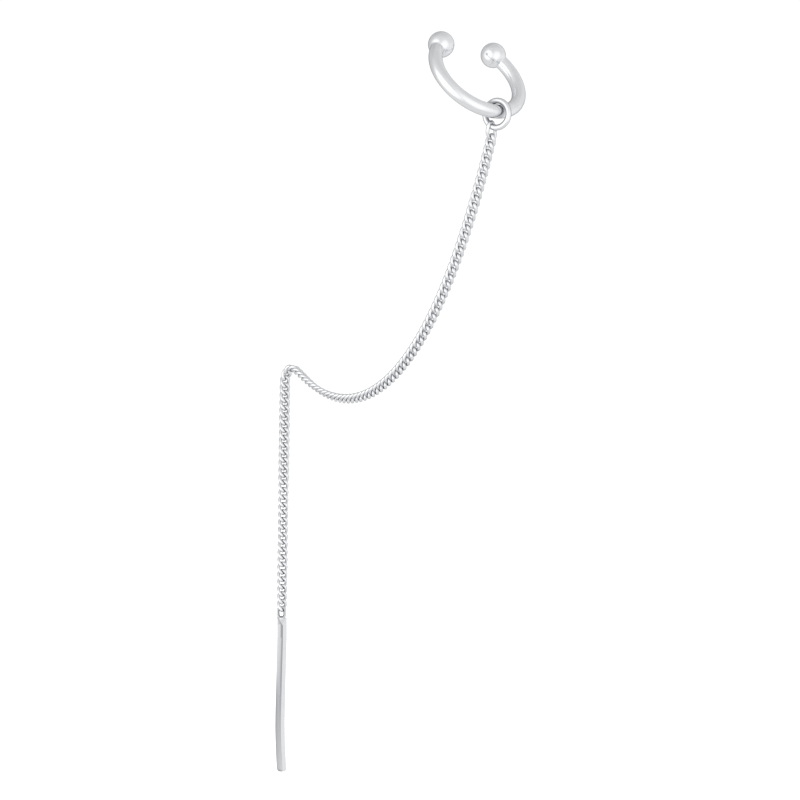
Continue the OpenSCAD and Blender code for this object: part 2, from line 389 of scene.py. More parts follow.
def buildJumpRing():
    sizes, up = ringSizes, Vector((0, 0, 1))
    wireRadius = sizes["shownWire"] / 2
    begin, sweep = math.radians(sizes["cutAngle"] + sizes["cut"] / 2), math.radians(360 - sizes["cut"])
    rounding = sizes["endRound"] / sizes["shownRadius"]
    profile = []
    for i in reversed(range(sizes["endSteps"] + 1)):  # rounded end
        turn = math.pi / 2 * i / sizes["endSteps"]
        drop = sizes["endRound"] * (1 - math.cos(turn))
        profile.append((rounding * (1 - math.sin(turn)), wireRadius - drop))
    middle = [(rounding + (sweep - 2 * rounding) * i / sizes["alongWire"], wireRadius)
              for i in range(1, sizes["alongWire"])]
    closing = [(sweep - along, radius) for along, radius in reversed(profile)]
    rings, alongs = [], []
    for along, radius in profile + middle + closing:
        out = math.cos(begin + along) * ringAcross + math.sin(begin + along) * up
        # both ends ease out of line over the last part of the ring
        ease = math.cos(along / sweep * math.pi) ** 5 * sizes["shift"]
        centre = ringCentre + up * sizes["lift"] + out * (sizes["shownRadius"] + sizes["spread"] * ease)
        rings.append(roundRing(centre + ringNormal * ease, out, ringNormal, radius, sizes["sides"]))
        alongs.append(along * sizes["radius"])
    tips = [sum(ring, Vector()) / sizes["sides"] for ring in (rings[0], rings[-1])]
    return skinRings("jumpRing", rings, alongs, math.pi * sizes["wire"], tips[0], tips[1])


jumpRing = linkObject("jumpRing", buildJumpRing())


def ringShade(point):
    # painted shade: the ring's inner side is darker than its outside
    flat = point - ringCentre - Vector((0, 0, ringSizes["lift"]))
    away = math.hypot(flat.dot(ringAcross), flat.z)
    inward = (ringSizes["shownRadius"] - away) / (ringSizes["shownWire"] / 2)
    return eased(inward, ringSizes["shadeFrom"], ringSizes["shadeFully"])


def cuffShade(point):
    # painted shadow: the cuff is darkened where the ring's shadow and reflection fall on it
    gap = point - ringCentre
    if gap.length > ringSizes["ringShadowReach"]:
        return 0.0
    return 1 - eased(abs(gap.dot(ringNormal)), ringSizes["ringShadowCore"], ringSizes["ringShadowWidth"])


# painted shade stored on the ring's inner side and on the cuff under the ring
for item, shade in ((jumpRing, ringShade), (earCuff, cuffShade)):
    spots = [vertex.co / mm for vertex in item.data.vertices]
    storePaintedShade(item.data, [shade(spots[loop.vertex_index]) for loop in item.data.loops])
print("jump ring:", len(jumpRing.data.polygons), "faces")


# route of the chain: hanging curve, rise, turn over at the lobe, straight drop
routeSizes = {"planeTurn": 56.5, "sag": 19.195, "lowX": -15.265, "riseSlope": 27.0, "riseStraight": 2.5,
              "bendRadius": 2.7, "overRadius": 1.7, "dropLean": 0.79, "pivotZ": -63.38}
# the solids' link sizes set the places of the links; the shown links have the real, thicker wire
linkSizes = {"swagStep": 0.9317, "dropStep": 0.937, "solidHalfLength": 0.70, "solidEndHalfLength": 0.91,
             "solidWire": 0.25, "solidEndClear": 0.12, "solidHold": 0.474,
             "halfLength": 0.66, "halfWidth": 0.485, "swagHalfWidth": 0.455, "wire": 0.41, "fullness": 2.4,
             "twist": 104.0, "looseness": 1.2, "shownShift": 0.05, "swagShadeDepth": 0.52,
             "endHalfLength": 0.86, "endHalfWidth": 0.56, "endTwistTop": -26.0, "endLean": (-0.45, 0.2),
             "endSpan": 0.01, "endShadeDepth": 1.4, "stations": 28, "sides": 8, "routeStep": 0.03}
# turn of a link about the route, by its number from the jump ring
linkRolls = ((0, 64), (6, 56), (12, 50), (20, 46), (44, 45), (50, 38), (56, 28), (61, 14), (66, 7), (73, 17),
             (91, 17), (95, -4))

planeTurn = math.radians(routeSizes["planeTurn"])
planeAlong = Vector((-math.cos(planeTurn), math.sin(planeTurn), 0))
planeAcross = Vector((-math.sin(planeTurn), -math.cos(planeTurn), 0))


def chainRoute():
    # lengths along the route count from the swag's lowest point
    # across is level in the chain's plane, z is up
    sag, slope = routeSizes["sag"], math.radians(routeSizes["riseSlope"])
    straight, bend, over = routeSizes["riseStraight"], routeSizes["bendRadius"], routeSizes["overRadius"]
    hook = math.radians(ringSizes["hookAngle"])
    hookWay = math.sin(hook) * ringAcross + math.cos(hook) * Vector((0, 0, 1))
    meet = ringCentre - ringSizes["radius"] * hookWay
    meetAcross = (routeSizes["lowX"] - meet.x) / math.cos(planeTurn)
    lowY = meet.y - meetAcross * math.sin(planeTurn)
    lowZ = meet.z - sag * (math.cosh(meetAcross / sag) - 1)
    sRing = sag * math.sinh(meetAcross / sag)
    sRise = sag * math.tan(slope)
    sBend = sRise + straight
    sOver = sBend + bend * slope
    sDrop = sOver + over * math.pi / 2
    riseAt = Vector((sag * math.asinh(math.tan(slope)), lowZ + sag * (1 / math.cos(slope) - 1)))
    bendAt = riseAt + straight * Vector((math.cos(slope), math.sin(slope)))
    overAt = bendAt + bend * Vector((math.sin(slope), 1 - math.cos(slope)))
    dropAt = overAt + over * Vector((1, -1))
    sPivot = sDrop + dropAt.y - routeSizes["pivotZ"]

    def place(s):
        if s < sRise:
            spot = Vector((sag * math.asinh(s / sag), lowZ + sag * (math.hypot(s / sag, 1) - 1)))
        elif s < sBend:
            spot = riseAt + (s - sRise) * Vector((math.cos(slope), math.sin(slope)))
        elif s < sOver:
            steep = slope - (s - sBend) / bend
            turnedBy = Vector((math.sin(slope) - math.sin(steep), math.cos(steep) - math.cos(slope)))
            spot = bendAt + bend * turnedBy
        elif s < sDrop:
            steep = (s - sOver) / over
            spot = overAt + over * Vector((math.sin(steep), math.cos(steep) - 1))
        else:
            spot = dropAt - Vector((0, s - sDrop))
        lean = max(0, s - sDrop) * math.tan(math.radians(routeSizes["dropLean"]))
        return Vector((routeSizes["lowX"] - lean, lowY, spot.y)) + planeAlong * spot.x

    hold = linkSizes["solidWire"] / 2 + linkSizes["solidEndClear"] + ringSizes["wire"] / 2
    sEnd = sRing + linkSizes["solidEndHalfLength"] - hold
    sFirst = sEnd + linkSizes["solidEndHalfLength"] - linkSizes["solidHold"] + linkSizes["solidHalfLength"]
    sLast = sPivot - linkSizes["solidHalfLength"]
    inSwag = math.ceil((sDrop - sFirst) / linkSizes["swagStep"])
    sJoin = sFirst + inSwag * linkSizes["swagStep"]
    inDrop = round((sLast - sJoin) / linkSizes["dropStep"]) + 1
    return place, sEnd, sFirst, sJoin, sLast, inSwag, inDrop, sPivot


placeAt, sEndLink, sFirstLink, sJoinLink, sLastLink, linksInSwag, linksInDrop, sPivot = chainRoute()
print("chain route:", linksInSwag, "links in the swag,", linksInDrop, "in the drop")


def rollAt(number):
    for (n1, r1), (n2, r2) in zip(linkRolls, linkRolls[1:]):
        if number <= n2:
            return math.radians(r1 + (r2 - r1) * max(0, number - n1) / (n2 - n1))
    return math.radians(linkRolls[-1][1])


def socketOf(node, name, index=0):
    return [s for s in node.inputs if s.name == name][index]


def buildLinkGroup():
    # one curb link: a flat oval of round wire, twisted about its length
    tree = bpy.data.node_groups.new("curbLink", "GeometryNodeTree")
    for name, value in (("Half Length", 0.7), ("Half Width", 0.5), ("Fullness", 2.3), ("Twist Top", 0.9),
                        ("Twist Bottom", -0.9), ("Wire Radius", 0.18)):
        addSocket(tree, "INPUT", "NodeSocketFloat", name, value)
    addSocket(tree, "INPUT", "NodeSocketFloat", "Crossing Shade Depth", 1.0)
    addSocket(tree, "INPUT", "NodeSocketInt", "Stations", 28)
    addSocket(tree, "INPUT", "NodeSocketInt", "Sides", 8)
    addSocket(tree, "OUTPUT", "NodeSocketGeometry", "Geometry")
    nodes, links = tree.nodes, tree.links
    start, end = nodes.new("NodeGroupInput"), nodes.new("NodeGroupOutput")

    def calc(kind, *values):
        return calcNode(tree, kind, *values)

    loop = nodes.new("GeometryNodeCurvePrimitiveCircle")
    links.new(start.outputs["Stations"], loop.inputs["Resolution"])
    loop.inputs["Radius"].default_value = 1.0
    where = nodes.new("GeometryNodeInputPosition")
    split = nodes.new("ShaderNodeSeparateXYZ")
    links.new(where.outputs[0], split.inputs[0])
    power = calc("DIVIDE", 2.0, start.outputs["Fullness"])

    def ovalOf(value):
        return calc("MULTIPLY", calc("SIGN", value), calc("POWER", calc("ABSOLUTE", value), power))

    length, width = ovalOf(split.outputs["X"]), ovalOf(split.outputs["Y"])
    width = calc("MULTIPLY", width, start.outputs["Half Width"])
    share = calc("MULTIPLY_ADD", length, 0.5, 0.5)
    twist = calc("MULTIPLY_ADD", calc("SUBTRACT", start.outputs["Twist Bottom"], start.outputs["Twist Top"]),
                 share, start.outputs["Twist Top"])
    point = nodes.new("ShaderNodeCombineXYZ")
    links.new(calc("MULTIPLY", length, start.outputs["Half Length"]), point.inputs["X"])
    links.new(calc("MULTIPLY", width, calc("COSINE", twist)), point.inputs["Y"])
    links.new(calc("MULTIPLY", width, calc("SINE", twist)), point.inputs["Z"])
    shaped = nodes.new("GeometryNodeSetPosition")
    links.new(loop.outputs["Curve"], shaped.inputs["Geometry"])
    links.new(point.outputs[0], shaped.inputs["Position"])
    section = nodes.new("GeometryNodeCurvePrimitiveCircle")
    links.new(start.outputs["Sides"], section.inputs["Resolution"])
    links.new(start.outputs["Wire Radius"], section.inputs["Radius"])
    skin = nodes.new("GeometryNodeCurveToMesh")
    links.new(shaped.outputs["Geometry"], skin.inputs["Curve"])
    links.new(section.outputs["Curve"], skin.inputs["Profile Curve"])
    # painted shade: 1 near the chain's axis, where links cross and shade each other, with some tarnish the
    # polish leaves there; 0 on the outside
    around = nodes.new("GeometryNodeInputPosition")
    parts = nodes.new("ShaderNodeSeparateXYZ")
    links.new(around.outputs[0], parts.inputs[0])
    off = calc("SQRT", calc("ADD", calc("MULTIPLY", parts.outputs["Y"], parts.outputs["Y"]),
                            calc("MULTIPLY", parts.outputs["Z"], parts.outputs["Z"])))
    deep = nodes.new("ShaderNodeMapRange")
    deep.interpolation_type = "SMOOTHSTEP"
    links.new(off, deep.inputs["Value"])
    links.new(start.outputs["Half Width"], deep.inputs["From Min"])
    deep.inputs["From Max"].default_value = 0.0
    links.new(start.outputs["Crossing Shade Depth"], deep.inputs["To Max"])
    kept = nodes.new("GeometryNodeStoreNamedAttribute")
    kept.data_type, kept.domain = "FLOAT", "POINT"
    kept.inputs["Name"].default_value = "painted_shade"
    links.new(skin.outputs["Mesh"], kept.inputs["Geometry"])
    links.new(deep.outputs["Result"], kept.inputs["Value"])
    links.new(kept.outputs["Geometry"], end.inputs["Geometry"])
    return tree


def buildChainTree(linkGroup):
    # links at an even step along the route curve
    # each is turned to the route, to the chain's side axis and by the curve's tilt
    tree = bpy.data.node_groups.new("curbChain", "GeometryNodeTree")
    tree.is_modifier = True
    addSocket(tree, "INPUT", "NodeSocketGeometry", "Geometry")
    addSocket(tree, "INPUT", "NodeSocketInt", "Link Count", 10)
    linkInputs = ("Half Length", "Half Width", "Fullness", "Twist Top", "Twist Bottom", "Wire Radius",
                  "Crossing Shade Depth")
    for name in linkInputs:
        addSocket(tree, "INPUT", "NodeSocketFloat", name, 1.0)
    addSocket(tree, "INPUT", "NodeSocketInt", "Stations", 28)
    addSocket(tree, "INPUT", "NodeSocketInt", "Sides", 8)
    addSocket(tree, "INPUT", "NodeSocketVector", "Side Axis", (0, 1, 0))
    addSocket(tree, "INPUT", "NodeSocketFloat", "Looseness", 0.0)
    addSocket(tree, "INPUT", "NodeSocketInt", "Seed", 4)
    addSocket(tree, "INPUT", "NodeSocketMaterial", "Finish")
    addSocket(tree, "OUTPUT", "NodeSocketGeometry", "Geometry")
    nodes, links = tree.nodes, tree.links
    start, end = nodes.new("NodeGroupInput"), nodes.new("NodeGroupOutput")

    shape = nodes.new("GeometryNodeGroup")
    shape.node_tree = linkGroup
    for name in linkInputs + ("Stations", "Sides"):
        links.new(start.outputs[name], shape.inputs[name])

    row = nodes.new("GeometryNodePoints")
    links.new(start.outputs["Link Count"], row.inputs["Count"])
    index = nodes.new("GeometryNodeInputIndex")
    gaps = calcNode(tree, "MAXIMUM", calcNode(tree, "SUBTRACT", start.outputs["Link Count"], 1), 1)
    factor = calcNode(tree, "DIVIDE", index.outputs[0], gaps)
    sample = nodes.new("GeometryNodeSampleCurve")
    sample.mode = "FACTOR"
    sample.use_all_curves = True
    tilt = nodes.new("GeometryNodeInputCurveTilt")
    links.new(tilt.outputs[0], sample.inputs["Value"])
    links.new(start.outputs["Geometry"], sample.inputs["Curves"])
    links.new(factor, sample.inputs["Factor"])

    placed = nodes.new("GeometryNodeSetPosition")
    links.new(row.outputs[0], placed.inputs["Geometry"])
    links.new(sample.outputs["Position"], placed.inputs["Position"])
    turn = nodes.new("FunctionNodeAxesToRotation")
    turn.primary_axis, turn.secondary_axis = "X", "Y"
    links.new(sample.outputs["Tangent"], turn.inputs[0])
    links.new(start.outputs["Side Axis"], turn.inputs[1])

    def looseBy(reach):
        # the farthest turn off true about each axis
        scaled = nodes.new("ShaderNodeVectorMath")
        scaled.operation = "SCALE"
        scaled.inputs[0].default_value = reach
        links.new(start.outputs["Looseness"], scaled.inputs["Scale"])
        return scaled.outputs[0]

    # each link hangs a touch off true
    wobble = nodes.new("FunctionNodeRandomValue")
    wobble.data_type = "FLOAT_VECTOR"
    links.new(looseBy((-1, -0.4, -0.4)), socketOf(wobble, "Min"))
    links.new(looseBy((1, 0.4, 0.4)), socketOf(wobble, "Max"))
    links.new(start.outputs["Seed"], wobble.inputs["Seed"])
    roll = nodes.new("ShaderNodeCombineXYZ")
    links.new(sample.outputs["Value"], roll.inputs["X"])
    turned = nodes.new("ShaderNodeVectorMath")
    turned.operation = "ADD"
    links.new(wobble.outputs[0], turned.inputs[0])
    links.new(roll.outputs[0], turned.inputs[1])
    wobbleTurn = nodes.new("FunctionNodeEulerToRotation")
    links.new(turned.outputs[0], wobbleTurn.inputs[0])
    both = nodes.new("FunctionNodeRotateRotation")
    both.rotation_space = "LOCAL"
    links.new(turn.outputs[0], both.inputs[0])
    links.new(wobbleTurn.outputs[0], both.inputs[1])

    copies = nodes.new("GeometryNodeInstanceOnPoints")
    links.new(placed.outputs["Geometry"], copies.inputs["Points"])
    links.new(shape.outputs["Geometry"], copies.inputs["Instance"])
    links.new(both.outputs[0], copies.inputs["Rotation"])
    real = nodes.new("GeometryNodeRealizeInstances")
    links.new(copies.outputs["Instances"], real.inputs["Geometry"])
    smooth = nodes.new("GeometryNodeSetShadeSmooth")
    links.new(real.outputs["Geometry"], smooth.inputs["Geometry"])
    dressed = nodes.new("GeometryNodeSetMaterial")
    links.new(smooth.outputs["Geometry"], dressed.inputs["Geometry"])
    links.new(start.outputs["Finish"], dressed.inputs["Material"])
    links.new(dressed.outputs["Geometry"], end.inputs["Geometry"])
    return tree


linkGroup = buildLinkGroup()
chainTree = buildChainTree(linkGroup)


def linkMesh(name, sFrom, sTo, firstNumber, count, values):
    # the route between two link centres as a fine curve, dressed with links, then made a plain mesh
    steps = max(2, int((sTo - sFrom) / linkSizes["routeStep"]))
    curve = bpy.data.curves.new(name + "Route", "CURVE")
    curve.dimensions = "3D"
    spline = curve.splines.new("POLY")
    spline.points.add(steps)
    for i, point in enumerate(spline.points):
        spot = placeAt(sFrom + (sTo - sFrom) * i / steps) + Vector((linkSizes["shownShift"], 0, 0))
        point.co = (*(spot * mm), 1)
        point.tilt = rollAt(firstNumber + (count - 1) * i / steps)
    route = linkObject(name + "Route", curve)
    modifier = route.modifiers.new("links", "NODES")
    modifier.node_group = chainTree
    ids = {i.name: i.identifier for i in chainTree.interface.items_tree if i.in_out == "INPUT"}
    for key, value in {**values, "Link Count": count}.items():
        modifier[ids[key]] = value
    bpy.context.view_layer.update()
    evaluated = route.evaluated_get(bpy.context.evaluated_depsgraph_get())
    mesh = bpy.data.meshes.new_from_object(evaluated)
    route.modifiers.remove(modifier)
    bpy.data.objects.remove(route)
    bpy.data.curves.remove(curve)
    turnOutward(mesh)
    return mesh


def chainValues(halfLength, halfWidth, twistTop):
    sizes = linkSizes
    return {"Half Length": halfLength * mm, "Half Width": halfWidth * mm, "Fullness": sizes["fullness"],
            "Twist Top": math.radians(twistTop), "Twist Bottom": math.radians(-sizes["twist"] / 2),
            "Wire Radius": sizes["wire"] / 2 * mm, "Crossing Shade Depth": 1.0,
            "Stations": sizes["stations"], "Sides": sizes["sides"], "Side Axis": tuple(planeAcross),
            "Looseness": math.radians(sizes["looseness"]), "Seed": 4, "Finish": silvers["chainSilver"]}


regular = chainValues(linkSizes["halfLength"], linkSizes["halfWidth"], linkSizes["twist"] / 2)
# the swag hangs open to the light, so its recesses look less deep than those of the straight length
swagKind = {**regular, "Half Width": linkSizes["swagHalfWidth"] * mm, "Crossing Shade Depth": linkSizes["swagShadeDepth"]}
swagLinks = linkMesh("swagLinks", sFirstLink, sJoinLink - linkSizes["swagStep"], 0, linksInSwag, swagKind)


def buildEndLink():
    # only the lower end of this link turns with the first regular one
    # its upper end keeps its own turn and leans over the ring's wire
    kind = chainValues(linkSizes["endHalfLength"], linkSizes["endHalfWidth"], linkSizes["endTwistTop"])
    # no looseness, and deeper painted shade where this link crosses the ring and the next link
    kind["Looseness"], kind["Crossing Shade Depth"] = 0.0, linkSizes["endShadeDepth"]
    kind["Twist Top"] -= rollAt(0)
    link = linkMesh("endLink", sEndLink, sEndLink + linkSizes["endSpan"], 0, 1, kind)
    middle = placeAt(sEndLink)
    along = (placeAt(sEndLink + 2 * linkSizes["endSpan"]) - middle).normalized()
    lean = ringAcross * linkSizes["endLean"][0] + Vector((0, 0, linkSizes["endLean"][1]))
    for vert in link.vertices:
        share = 0.5 - (vert.co / mm - middle).dot(along) / (2 * linkSizes["endHalfLength"])
        vert.co += lean * max(0, share) * mm
    return link


endLink = buildEndLink()
chainSwag = linkObject("chainSwag", joinMeshes("chainSwag", [swagLinks, endLink]))
dropLinks = linkMesh("chainDrop", sJoinLink, sLastLink, linksInSwag, linksInDrop, regular)
chainDrop = linkObject("chainDrop", dropLinks)
print("chain:", len(chainSwag.data.polygons), "and", len(chainDrop.data.polygons), "faces")


# threader bar: bowed square bar, filed to a wedge at its top, with a link soldered on it
barSizes = {"side": 0.89, "length": 19.3, "topZ": -64.22, "bow": 0.2, "corner": 0.05, "turn": -9.5,
            "stations": 90, "besideCorner": 0.03, "bandWidth": 0.24, "bandEdge": 0.05,
            "wedgeDepth": 0.44, "wedgeLength": 0.95, "wedgeBevel": 0.03, "sharpFrom": 32,
            "tipTaper": 0.6, "tipSteps": 10, "tipIn": 0.2, "tipCurve": 2.2, "tipLeft": 0.9, "tipRight": -0.35,
            "tipThin": 0.8, "cutLine": 0.06, "leftEdge": 0.13}
# rings that round the tip: share of the last ring, drop below it, step along the surface
barTip = ((0.93, 0.02, 0.03), (0.8, 0.028, 0.05))
# small departures from the even bow, to the right, by distance down the bar
barSway = ((0, 0.07), (1.6, 0.14), (3.1, 0.17), (5.4, 0.16), (7.3, 0.135), (9.2, 0.1), (11.0, 0.055),
           (12.9, 0.0), (14.8, -0.025), (16.7, -0.01), (19.3, 0.03))
# painted shade down the bar's length: on the left face, in the line beside the front edge, on the left edge
barShades = {"face": ((0, 0.54), (10.5, 0.8), (15.5, 0.78), (19.3, 0.66)),
             "line": ((0, 1.1), (7.0, 1.1), (10.5, 0.92), (15.5, 0.78), (19.3, 0.62)),
             "edge": ((0, 0.48), (6.5, 0.56), (10.5, 0.96), (15.5, 0.9), (19.3, 0.8))}
eyeSizes = {"halfWidth": 0.44, "wire": 0.41, "solidWire": 0.3, "clear": 0.18, "stations": 48, "sides": 16,
            "along": 0.065, "holeShade": 0.6, "holeShadeFade": 3.5}
solderSizes = {"rise": 0.1, "depth": 0.62, "wide": 0.42, "narrowing": 0.2, "flatness": 0.9, "stations": 16,
               "sides": 28, "along": 0.02, "girth": 2.0}

barPivot = placeAt(sPivot)
bowRadius = (barSizes["length"] ** 2 / 4 + barSizes["bow"] ** 2) / 2 / barSizes["bow"]
bowAngle = 2 * math.asin(barSizes["length"] / 2 / bowRadius)
bowCentre = Vector((barPivot.x + bowRadius * math.cos(bowAngle / 2), barPivot.y,
                    barSizes["topZ"] - barSizes["length"] / 2))
wedgeSlant = math.atan2(barSizes["wedgeDepth"], barSizes["wedgeLength"])
eyeTop = routeSizes["pivotZ"] + eyeSizes["solidWire"] / 2 + linkSizes["solidWire"] / 2 + eyeSizes["clear"]
eyeLow = barSizes["topZ"]


def easedAt(knots, along):
    # smooth curve through the knots
    along = min(max(along, knots[0][0]), knots[-1][0])
    i = max(k for k in range(len(knots) - 1) if knots[k][0] <= along)
    (at1, value1), (at2, value2) = knots[i], knots[i + 1]
    before, after = knots[max(i - 1, 0)], knots[min(i + 2, len(knots) - 1)]
    slope1, slope2 = (value2 - before[1]) / (at2 - before[0]), (after[1] - value1) / (after[0] - at1)
    gap = at2 - at1
    t = (along - at1) / gap
    return ((2 * t ** 3 - 3 * t ** 2 + 1) * value1 + (t ** 3 - 2 * t ** 2 + t) * gap * slope1
            + (3 * t ** 2 - 2 * t ** 3) * value2 + (t ** 3 - t ** 2) * gap * slope2)


def turned(angle):
    return Vector((math.cos(angle), math.sin(angle)))


def squareSection(half, corner, turn):
    # points round a square with rounded corners; extra points beside each corner keep the flats flat
    points = []
    for quarter in range(4):
        base = math.pi / 2 * quarter
        out = turned(base) * (half - corner) * math.sqrt(2)
        ahead, behind = base + math.pi / 4, base - math.pi / 4
        edge, back = turned(base + 3 * math.pi / 4), turned(base - 3 * math.pi / 4)
        points.append(out + corner * turned(behind) + back * barSizes["besideCorner"])
        points += [out + corner * turned(behind + (ahead - behind) * i / 4) for i in range(5)]
        band = barSizes["bandWidth"]
        beside = (barSizes["besideCorner"], band, band + barSizes["bandEdge"])
        points += [out + corner * turned(ahead) + edge * away for away in beside]
    spin = Matrix.Rotation(turn, 2)
    return [spin @ point for point in points]


def barMiddle(down):
    # the middle line at a distance down the bar, and the way to the bow's centre, which is to the right
    angle = math.pi - bowAngle / 2 + bowAngle * down / barSizes["length"]
    out = Vector((-math.cos(angle), 0, -math.sin(angle)))
    return bowCentre - out * bowRadius + Vector((easedAt(barSway, down), 0, 0)), out


def barRing(section, down):
    sizes = barSizes
    middle, out = barMiddle(down)
    near = max(0, 1 - (sizes["length"] - down) / sizes["tipTaper"])  # 0 to 1 over the tapering tip
    slim = sizes["tipIn"] * (1 - math.sqrt(max(0, 1 - near ** sizes["tipCurve"])))
    ring = []
    for point in section:
        across, forward = point.x, -point.y * (1 - sizes["tipThin"] * slim)
        skew = sizes["tipLeft"] if across < 0 else sizes["tipRight"]
        across += slim * skew * abs(across) / (sizes["side"] / 2)
        ring.append(middle + out * across + Vector((0, forward, 0)))
    return ring


def fileWedge(bar):
    # a slanting cut on the front and on the back, which meets each long edge in a point
    sizes = barSizes
    shell = bmesh.new()
    shell.from_mesh(bar)
    for side in (-1, 1):
        edgeY = barPivot.y + side * sizes["side"] / math.sqrt(2)
        origin = Vector((barPivot.x, edgeY, sizes["topZ"] - sizes["wedgeLength"])) * mm
        normal = Vector((0, side * math.cos(wedgeSlant), math.sin(wedgeSlant)))
        everything = shell.verts[:] + shell.edges[:] + shell.faces[:]
        cut = bmesh.ops.bisect_plane(shell, geom=everything, dist=1e-7, plane_co=origin, plane_no=normal,
                                     clear_outer=True)
        rim = [item for item in cut["geom_cut"] if isinstance(item, bmesh.types.BMEdge)]
        for face in bmesh.ops.edgeloop_fill(shell, edges=rim)["faces"]:
            face.smooth = False
    sharp = [edge for edge in shell.edges
             if len(edge.link_faces) == 2 and edge.calc_face_angle() > math.radians(sizes["sharpFrom"])
             and edge.verts[0].co.z > (sizes["topZ"] - 2) * mm]
    bmesh.ops.bevel(shell, geom=sharp, offset=sizes["wedgeBevel"] * mm, segments=2, profile=0.5,
                    affect="EDGES", clamp_overlap=True)
    shell.to_mesh(bar)
    shell.free()
    turnOutward(bar)


def barShade(point):
    # painted shade: the left side is darker, darkest in a line down it beside the front edge and along the
    # slanting cut
    sizes = barSizes
    down = min(max(sizes["topZ"] - point.z, 0), sizes["length"])
    aside = Vector((point.x - barMiddle(down)[0].x, barPivot.y - point.y))
    local = Matrix.Rotation(-math.radians(sizes["turn"]), 2) @ aside
    if local.x > 0.02 or local.y < -0.1:
        return 0.0
    cutGap = ((point.y - barPivot.y + sizes["side"] / math.sqrt(2)) * math.cos(wedgeSlant)
              - (point.z - sizes["topZ"] + sizes["wedgeLength"]) * math.sin(wedgeSlant))
    if abs(cutGap) < sizes["cutLine"]:
        return 1.0
    if -local.x * math.sqrt(2) < sizes["bandWidth"] + sizes["corner"]:
        return easedAt(barShades["line"], down)
    return easedAt(barShades["edge" if local.y < sizes["leftEdge"] else "face"], down)


def buildBarBody():
    sizes = barSizes
    section = squareSection(sizes["side"] / 2, sizes["corner"], math.radians(sizes["turn"]))
    length, taper, steps = sizes["length"], sizes["tipTaper"], sizes["tipSteps"]
    downs = [length * i / sizes["stations"] for i in range(sizes["stations"])]
    downs = [down for down in downs if down < length - taper - 0.1]
    downs += [length - taper * (1 - i / steps) for i in range(steps + 1)]
    rings = [barRing(section, down) for down in downs]
    last = rings[-1]
    heart = sum(last, Vector()) / len(last)
    for share, drop, step in barTip:
        rings.append([heart + (point - heart) * share - Vector((0, 0, drop)) for point in last])
        downs.append(downs[-1] + step)
    top, tip = sum(rings[0], Vector()) / len(rings[0]), heart - Vector((0, 0, barTip[-1][1]))
    bar = skinRings("barBody", rings, downs, 4 * sizes["side"], top, tip)
    fileWedge(bar)
    # painted shade on the bar, none on the front cut's facet
    shades = [barShade(vert.co / mm) for vert in bar.vertices]
    frontCut = Vector((0, -math.cos(wedgeSlant), math.sin(wedgeSlant)))
    storePaintedShade(bar, [0.0 if face.normal.dot(frontCut) > 0.99 else shades[index]
                      for face in bar.polygons for index in face.vertices])
    return bar


def buildEye():
    # the soldered link: two half rounds joined by straight sides
    half, count = eyeSizes["halfWidth"], eyeSizes["stations"]
    upper, lower = eyeTop - half, eyeLow + half
    rings = []
    for i in range(count + 1):
        angle = 2 * math.pi * i / count
        out = Vector((math.cos(angle), 0, math.sin(angle)))
        middle = Vector((barPivot.x, barPivot.y, upper if math.sin(angle) >= -1e-9 else lower))
        centre, wireRadius = middle + out * half, eyeSizes["wire"] / 2
        rings.append(roundRing(centre, out, Vector((0, -1, 0)), wireRadius, eyeSizes["sides"]))
    alongs = [i * eyeSizes["along"] for i in range(count + 1)]
    eye = skinRings("eye", rings, alongs, math.pi * eyeSizes["wire"])
    shell = bmesh.new()
    shell.from_mesh(eye)
    bmesh.ops.remove_doubles(shell, verts=shell.verts, dist=1e-7)
    bmesh.ops.recalc_face_normals(shell, faces=shell.faces)
    shell.to_mesh(eye)
    shell.free()

    def shade(point):
        # painted shade inside the hole, none outside
        away = math.hypot(point.x - barPivot.x, point.z - min(max(point.z, lower), upper)) - half
        return max(0, min(1, eyeSizes["holeShade"] - eyeSizes["holeShadeFade"] * away))

    shades = [shade(vert.co / mm) for vert in eye.vertices]
    storePaintedShade(eye, [shades[index] for face in eye.polygons for index in face.vertices])
    return eye


def buildSolder():
    # a low drop between the link and the bar, wide at the link and drawn down the front edge
    sizes = solderSizes
    topZ = eyeLow + sizes["rise"]
    across, forward = Vector((1, 0, 0)), Vector((0, sizes["flatness"], 0))
    rings, alongs = [], []
    for i in range(1, sizes["stations"]):
        angle = math.pi * i / sizes["stations"]
        fallen = (1 - math.cos(angle)) / 2
        wide = math.sin(angle) * (sizes["wide"] - sizes["narrowing"] * fallen)
        centre = Vector((barPivot.x, barPivot.y, topZ - sizes["depth"] * fallen))
        rings.append(roundRing(centre, across, forward, wide, sizes["sides"]))
        alongs.append(sizes["along"] * i)
    ends = [Vector((barPivot.x, barPivot.y, z)) for z in (topZ, topZ - sizes["depth"])]
    solder = skinRings("solder", rings, alongs, sizes["girth"], *ends)
    storePaintedShade(solder, [0.0] * len(solder.loops))
    return solder


barParts = [buildBarBody(), buildEye(), buildSolder()]
threaderBar = linkObject("threaderBar", joinMeshes("threaderBar", barParts))
print("threader bar:", len(threaderBar.data.polygons), "faces")


# finishes and bodies; each row also names the CAD part to hide and a slot, which is not used
dressing = (
    (earCuff, "cuffSilver", "ear_cuff", "cuff_and_chain", "cuff_silver"),
    (jumpRing, "ringSilver", "jump_ring", "cuff_and_chain", "ring_silver"),
    (chainSwag, "chainSilver", "chain_swag", "cuff_and_chain", "chain_silver"),
    (chainDrop, "chainSilver", "chain_drop", "cuff_and_chain", "chain_silver"),
    (threaderBar, "barSilver", "threader_bar", "bar", "bar_silver"),
)
for piece, finish, node, body, slot in dressing:
    piece.data.materials.clear()
    piece.data.materials.append(silvers[finish])
    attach(piece, body)
    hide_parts(node)
print("pieces dressed and riding")

